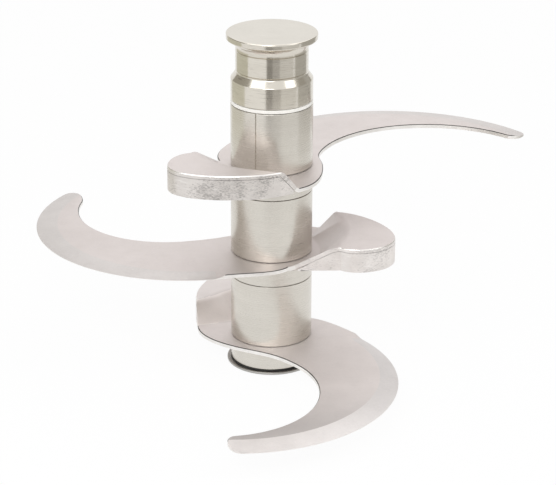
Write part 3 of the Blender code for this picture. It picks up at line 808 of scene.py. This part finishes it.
# hub and arm outline, from the right end of the ramp round the arm to its left end
def armOutline(plan):
    shape = bladeShape
    quarter = math.pi / 2
    points = shape["curvePoints"]
    cutArc = arc(plan["cutCenter"], plan["cutRadius"], plan["cutStart"], plan["cutEnd"])
    backArc = arc(plan["backCenter"], plan["backRadius"], plan["backStart"], shape["backEnd"])
    rampEnd = polar(column["radius"] + shape["hubFlatRight"], plan["foldEnd"])
    alongCut = polar(1.0, plan["cutStart"] - quarter)
    root = curve(rampEnd, plan["rootHandle"], cutArc[0] - alongCut * shape["rootReach"], cutArc[0], points)
    offCut = polar(plan["tipReach"], plan["cutEnd"] - quarter)
    ontoBack = polar(plan["tipReach"], plan["backStart"] + quarter)
    tip = curve(cutArc[-1], cutArc[-1] + offCut, backArc[0] - ontoBack, backArc[0], points)
    offBack = polar(shape["backReach"], shape["backEnd"] + quarter)
    front = hubPlan["front"]
    alongFront = polar(1.0, hubPlan["frontAngle"])
    neck = curve(
        backArc[-1], backArc[-1] + offBack, front + alongFront * hubPlan["frontReachRight"], front, points,
    )
    left = hubPlan["foldLeft"] + plan["headShift"]
    downLeft = (hubPlan["foldLeft"] - platePlan["left"]).normalized()
    leftSide = curve(
        front, front - alongFront * hubPlan["frontReachLeft"],
        left + downLeft * hubPlan["foldLeftReach"], left, points,
    )
    return root[1:-1] + cutArc + tip[1:-1] + backArc + neck[1:] + leftSide[1:-1]


def hubBore():
    key = column["keyAngle"]
    halfSlot = math.asin(keySeat["width"] / 2 / column["bore"])
    start, end = key + halfSlot, key - halfSlot + 2 * math.pi
    count = bladeShape["boreSteps"]
    bore = [polar(column["bore"], start + (end - start) * i / count) for i in range(count + 1)]
    side = polar(keySeat["width"] / 2, key + math.pi / 2)
    bottom = polar(keySeat["hubReach"], key)
    return bore + [bottom - side, bottom + side]


def addRampAndPlate(bm, plan, steps):
    foot, top = footCrease(plan), topCrease(plan)
    rows = []
    for step in steps:
        height = bladeShape["plateRise"] * rampShare(step)
        rows.append([bm.verts.new((*low.lerp(high, step), height)) for low, high in zip(foot, top)])
    for lowRow, highRow in zip(rows, rows[1:]):
        for i in range(len(lowRow) - 1):
            bm.faces.new((lowRow[i], lowRow[i + 1], highRow[i + 1], highRow[i]))
    rim = [bm.verts.new((*point, bladeShape["plateRise"])) for point in plateRim(plan)]
    bm.faces.new(rows[-1] + rim[::-1])
    return rows


def putInPlace(bm, plan):
    place = Matrix.Rotation(plan["turn"], 4, "Z")
    place = Matrix.Translation((0.0, 0.0, plan["sheetTop"])) @ place
    bmesh.ops.transform(bm, matrix=place, verts=bm.verts)


# level directions across the ramp's left and right ends
def rampSides(plan):
    ends = (
        (footCrease(plan)[0], platePlan["left"] + plan["headShift"]),
        (footCrease(plan)[-1], platePlan["corner"]),
    )
    along = [(high - low).normalized() for low, high in ends]
    return [Vector((way.y, -way.x, 0.0)) for way in along]


# leans a step through the sheet so that it stays in the upright wall at the ramp's end
def stepInWall(step, wall):
    inside = step - wall * step.dot(wall)
    return inside * (step.length_squared / inside.length_squared)


def faceUp(bm):
    bmesh.ops.recalc_face_normals(bm, faces=bm.faces)
    if sum(face.normal.z * face.calc_area() for face in bm.faces) < 0:
        bmesh.ops.reverse_faces(bm, faces=bm.faces)


def cornerEdges(bm, wanted):
    angle = math.radians(bladeShape["cornerFrom"])
    return [
        edge for edge in bm.edges
        if len(edge.link_faces) == 2 and edge.calc_face_angle(0.0) > angle
        and all(wanted(vert.co) for vert in edge.verts)
    ]


def soften(bm, edges, width, segments, clamped):
    result = bmesh.ops.bevel(
        bm, geom=edges, offset=width, segments=segments, profile=0.5, affect="EDGES",
        clamp_overlap=clamped,
    )
    return result["faces"]


# how far the ground face reaches in from the cutting edge, along a ray from the arc's centre
def grindWidthAt(plan, angle):
    offset = -bladeShape["grindShift"]
    along = polar(1.0, angle).dot(offset)
    radius = plan["cutRadius"] - bladeShape["grindWidth"]
    return plan["cutRadius"] + along - math.sqrt(along * along - offset.dot(offset) + radius ** 2)


def grindWedge(plan):
    shape = bladeShape
    bm = bmesh.new()
    pastTip = plan["cutEnd"] - shape["grindPastTip"]
    count = round((plan["cutStart"] - pastTip) / shape["arcStep"])
    depth = 2 * (shape["thickness"] - shape["edgeLand"])
    top = shape["grindAbove"]
    sections = []
    for i in range(count + 1):
        angle = plan["cutStart"] + (pastTip - plan["cutStart"]) * i / count
        begun = min(1.0, (shape["grindStart"] + i) / shape["grindRunIn"])
        share = math.sin(begun * math.pi / 2)
        width = share * grindWidthAt(plan, angle)
        inner = plan["cutCenter"] + polar(plan["cutRadius"] - width, angle)
        outer = plan["cutCenter"] + polar(plan["cutRadius"] + width, angle)
        corners = ((*inner, 0.0), (*outer, -depth * share), (*outer, top), (*inner, top))
        sections.append([bm.verts.new(corner) for corner in corners])
    for near, far in zip(sections, sections[1:]):
        for i in range(4):
            bm.faces.new((near[i], near[(i + 1) % 4], far[(i + 1) % 4], far[i]))
    bm.faces.new(sections[0])
    bm.faces.new(sections[-1])
    bmesh.ops.recalc_face_normals(bm, faces=bm.faces)
    return makeMesh("grind", bm)


def thicken(bm, thickness, plan, rowEnds):
    holder = makeMesh("sheet", bm)
    sheet = addObject("sheet", holder)
    solidify = sheet.modifiers.new("thicken", "SOLIDIFY")
    solidify.thickness = thickness
    solidify.offset = -1.0
    solidify.use_even_offset = True
    bm = resultOf(sheet)
    bm.verts.ensure_lookup_table()
    under = len(bm.verts) // 2
    for row, ends in enumerate(rowEnds):
        for end, wall in zip(ends, rampSides(plan)):
            upper, lower = bm.verts[end].co, bm.verts[end + under]
            if row == len(rowEnds) - 1:
                lower.co = upper - Vector((0.0, 0.0, thickness))
            else:
                lower.co = upper + stepInWall(lower.co - upper, wall)
    bpy.data.objects.remove(sheet)
    bpy.data.meshes.remove(holder)
    return bm


def looksUp(name, share):
    low, high = facing[name]
    return low < share < high


# which finish a face of the sheet gets, from its height, its direction and the slot it came with
def finishOf(face):
    height, up = face.calc_center_median().z, face.normal.z
    given = sheetSlots[face.material_index]
    inHead = height > bladeShape["headAbove"]
    if given == "line" and looksUp("line", abs(up)) or given == "rim" and looksUp("rim", up):
        return given
    if inHead and looksUp("head", up):
        return "head"
    if height < bladeShape["groundBelow"] and looksUp("edge", up):
        return "edge"
    if looksUp("side", up):
        return "side"
    return "ramp" if inHead and looksUp("ramp", up) else "sheet"


def buildBlade(level, plan):
    shape = bladeShape
    bm = bmesh.new()
    rows = addRampAndPlate(bm, plan, rampSteps(0.0))
    arm = [bm.verts.new((*point, 0.0)) for point in armOutline(plan)]
    bore = [bm.verts.new((*point, 0.0)) for point in hubBore()]
    edges = []
    for loop in (rows[0] + arm, bore):
        for near, far in zip(loop, loop[1:] + loop[:1]):
            edges.append(bm.edges.get((near, far)) or bm.edges.new((near, far)))
    bmesh.ops.triangle_fill(bm, use_beauty=True, edges=edges)
    faceUp(bm)
    bm.verts.index_update()
    rowEnds = [(row[0].index, row[-1].index) for row in rows]
    bm = thicken(bm, shape["thickness"], plan, rowEnds)
    top = shape["plateRise"] - shape["topWithin"]
    plateEdges = cornerEdges(bm, lambda place: place.z > top)
    # the rounded rim gets the painted highlight finish
    for face in soften(bm, plateEdges, shape["plateRound"], shape["plateSegments"], True):
        face.material_index = sheetSlots.index("rim")
    outline = cornerEdges(bm, lambda place: (
        place.xy.length > column["radius"] and abs(place.z) < shape["levelWithin"]
    ))
    # the softened outline edges carry the dark line of painted edge shade
    for face in soften(bm, outline, shape["edgeSoftening"], 1, False):
        face.material_index = sheetSlots.index("line")
    bm = carve(bm, grindWedge(plan))
    for face in bm.faces:
        face.material_index = sheetSlots.index(finishOf(face))
    shadeSoftly(bm, shape["sharpFrom"])
    putInPlace(bm, plan)
    finishes = {
        "sheet": bladeSteel, "edge": groundEdge, "head": headSteel[level], "side": sheetSideHighlight,
        "line": edgeShadeLine, "rim": rimHighlightSteel, "ramp": bladeSteel,
    }
    # the lower blade takes the lighter copies of its finishes, painted light
    if level == "lower":
        finishes.update({"sheet": litLowSteel, "edge": litLowEdge, "ramp": paintedLitRamp})
    materials = [finishes[slot] for slot in sheetSlots]
    blade = addPiece(level + "Blade", bm, materials, ["blade_" + level])
    evenShading(blade)


# block that fills the space under the ramp and the plate
blockShape = {
    "gap": 0.2 * mm, "toe": 0.15, "edgeRound": 0.3 * mm, "edgeSegments": 2, "footWithin": 0.05 * mm,
    "sharpFrom": 30.0,
}


def buildBlock(level, plan):
    shape = blockShape
    bm = bmesh.new()
    rows = addRampAndPlate(bm, plan, rampSteps(shape["toe"]))
    faceUp(bm)
    sink = bladeShape["thickness"] + shape["gap"]
    steps = {vert: vert.normal * vert.calc_shell_factor() * -sink for vert in bm.verts}
    for row in rows[:-1]:
        for vert, wall in zip((row[0], row[-1]), rampSides(plan)):
            steps[vert] = stepInWall(steps[vert], wall)
    for vert in (rows[-1][0], rows[-1][-1]):
        steps[vert] = Vector((0.0, 0.0, -sink))
    for vert, step in steps.items():
        vert.co += step
    extruded = bmesh.ops.extrude_face_region(bm, geom=list(bm.faces))
    for element in extruded["geom"]:
        if isinstance(element, bmesh.types.BMVert):
            element.co.z = -bladeShape["thickness"]
    bmesh.ops.recalc_face_normals(bm, faces=bm.faces)
    bottom = shape["footWithin"] - bladeShape["thickness"]
    footEdges = cornerEdges(bm, lambda place: place.z < bottom)
    soften(bm, footEdges, shape["edgeRound"], shape["edgeSegments"], True)
    shadeSoftly(bm, shape["sharpFrom"])
    putInPlace(bm, plan)
    block = addPiece(
        level + "Block", bm, [headSteel[level]], ["counterweight_" + level],
    )
    evenShading(block)


jointGap = 0.3 * mm
for level in levels:
    plan = bladePlans[level]
    plan["turn"] = turns[level]
    plan["sheetTop"] = bottomOf("sleeve_" + level) - jointGap
    buildBlade(level, plan)
    report(level + " blade built")
    buildBlock(level, plan)
report("blades and blocks built")


# floor and background: white for the camera and in reflections, plain for the light that falls
floorLook = {
    "radius": 5.0, "segments": 64, "drop": 0.05 * mm, "reach": 0.06, "color": (0.96, 0.96, 0.96),
}
worldLook = {"light": 0.67}
plainWhite = (1.0, 1.0, 1.0, 1.0)


def whereSeen(tree):
    path = addNode(tree, "LightPath").outputs
    seen = calculate(tree, "MAXIMUM", path["Is Camera Ray"], path["Is Glossy Ray"])
    return calculate(tree, "MAXIMUM", seen, path["Is Transmission Ray"])


def emptyMaterial(name):
    material, tree, shader = startMaterial(name, 0.0)
    tree.nodes.remove(shader)
    return material, tree


def buildFloor():
    bm = bmesh.new()
    bmesh.ops.create_circle(
        bm, cap_ends=True, radius=floorLook["radius"], segments=floorLook["segments"],
    )
    mesh = makeMesh("floor", bm)
    floor = addObject("floor", mesh)
    material, tree = emptyMaterial("paleFloor")
    plain = addNode(tree, "BsdfDiffuse", {"Color": (*floorLook["color"], 1.0)})
    white = addNode(tree, "Emission", {"Color": plainWhite, "Strength": 1.0})
    share = calculate(tree, "MULTIPLY", whereSeen(tree), 1.0 - floorLook["reach"])
    mix = addNode(tree, "MixShader", {0: share, 1: plain.outputs[0], 2: white.outputs[0]})
    below = addNode(tree, "NewGeometry").outputs["Backfacing"]  # clear when seen from underneath
    clear = addNode(tree, "BsdfTransparent")
    shown = addNode(tree, "MixShader", {0: below, 1: mix.outputs[0], 2: clear.outputs[0]})
    tree.links.new(shown.outputs[0], tree.nodes["Material Output"].inputs["Surface"])
    mesh.materials.append(material)
    floor.location.z = -floorLook["drop"]


def buildWorld():
    world = bpy.data.worlds.new("studio")
    bpy.context.scene.world = world
    world.use_nodes = True
    tree = world.node_tree
    background = tree.nodes["Background"]
    strength = spread(tree, whereSeen(tree), 0.0, 1.0, worldLook["light"], 1.0)
    background.inputs["Color"].default_value = plainWhite
    tree.links.new(strength, background.inputs["Strength"])


# soft lamps: where each one hangs, its side and its power, all aimed at one point
lampAim = Vector((0.0, 0.0, 0.1))
lamps = {
    "frontLamp": {"place": (-0.18, -1.05, 0.82), "size": 0.6, "power": 4.4},
    "leftLamp": {"place": (-0.9, -0.7, 1.25), "size": 0.9, "power": 3.4},
    "rightLamp": {"place": (1.0, -0.3, 1.15), "size": 0.8, "power": 2.5},
    "backLamp": {"place": (0.1, 1.1, 1.3), "size": 0.9, "power": 1.5},
}


def buildLamps():
    for name, lamp in lamps.items():
        data = bpy.data.lights.new(name, "AREA")
        data.size = lamp["size"]
        data.energy = lamp["power"]
        item = addObject(name, data)
        place = Vector(lamp["place"])
        item.location = place
        item.rotation_euler = (lampAim - place).to_track_quat("-Z", "Y").to_euler()


# grey cards that stand round the object and show only in the turned metal, the low ones paler at the foot
cards = {
    "frontCard": {
        "start": -106.0, "end": -88.0, "reach": 0.45, "foot": 0.001, "top": 0.11,
        "shade": (0.29, 0.28, 0.26), "footShade": (0.42, 0.40, 0.38),
    },
    "frontFadeCard": {
        "start": -88.0, "end": -66.0, "reach": 0.45, "foot": 0.001, "top": 0.11,
        "shade": (0.46, 0.45, 0.43), "footShade": (0.64, 0.62, 0.59),
    },
    "sideFrontCard": {
        "start": -66.0, "end": -20.0, "reach": 0.45, "foot": 0.001, "top": 0.11,
        "shade": (0.68, 0.67, 0.65), "footShade": (0.86, 0.85, 0.82),
    },
    "rightCard": {
        "start": -15.0, "end": 44.0, "reach": 0.42, "foot": 0.001, "top": 0.36,
        "shade": (0.50, 0.49, 0.46), "footShade": (0.66, 0.64, 0.60),
    },
    "leftCard": {
        "start": -233.0, "end": -169.0, "reach": 0.42, "foot": 0.001, "top": 0.17,
        "shade": (0.66, 0.65, 0.56), "footShade": (0.76, 0.74, 0.65),
    },
    "highRightCard": {
        "start": -25.0, "end": 48.0, "reach": 0.43, "foot": 0.20, "top": 0.52,
        "shade": (0.40, 0.38, 0.34),
    },
    "highLeftCard": {
        "start": -225.0, "end": -158.0, "reach": 0.42, "foot": 0.20, "top": 0.54,
        "shade": (0.40, 0.38, 0.33),
    },
}
cardFade = {"from": 32.0 * mm, "to": 46.0 * mm}
cardSteps = 24


def buildCards():
    for name, card in cards.items():
        bm = bmesh.new()
        rows = []
        for i in range(cardSteps + 1):
            angle = math.radians(card["start"] + (card["end"] - card["start"]) * i / cardSteps)
            foot = polar(card["reach"], angle)
            rows.append([bm.verts.new((*foot, height)) for height in (card["foot"], card["top"])])
        for near, far in zip(rows, rows[1:]):
            bm.faces.new((near[0], far[0], far[1], near[1]))
        mesh = makeMesh(name, bm)
        item = addObject(name, mesh)
        material, tree = emptyMaterial(name)
        height = objectPlace(tree)[1][2]
        share = spread(tree, height, cardFade["from"], cardFade["to"], 0.0, 1.0)
        shade = blendColors(tree, share, card.get("footShade", card["shade"]), card["shade"])
        glow = addNode(tree, "Emission", {"Color": shade, "Strength": 1.0})
        tree.links.new(glow.outputs[0], tree.nodes["Material Output"].inputs["Surface"])
        mesh.materials.append(material)
        item.visible_camera = False
        item.visible_diffuse = False
        item.visible_shadow = False
        item.visible_transmission = False


# camera at the viewing angle of the picture, which is 556 pixels wide
cameraPlace = {
    "place": (0.0, -1.28875, 0.59868), "pitch": math.radians(22.02), "yaw": math.radians(-0.179),
    "roll": math.radians(0.205), "focal": 2251.0, "pictureWidth": 556.0, "sensor": 36.0,
    "farthest": 20.0,
}


def buildCamera():
    shot = cameraPlace
    data = bpy.data.cameras.new("camera")
    data.sensor_fit = "HORIZONTAL"
    data.sensor_width = shot["sensor"]
    data.lens = shot["focal"] * shot["sensor"] / shot["pictureWidth"]
    data.clip_end = shot["farthest"]
    camera = addObject("camera", data)
    aim = Matrix.Rotation(shot["yaw"], 4, "Z") @ Matrix.Rotation(math.pi / 2 - shot["pitch"], 4, "X")
    aim = aim @ Matrix.Rotation(shot["roll"], 4, "Z")
    camera.matrix_world = Matrix.Translation(shot["place"]) @ aim
    bpy.context.scene.camera = camera


buildFloor()
buildWorld()
buildLamps()
buildCards()
buildCamera()
bpy.context.scene.view_settings.view_transform = "Standard"
report("studio built")

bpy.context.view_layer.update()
report("size written")
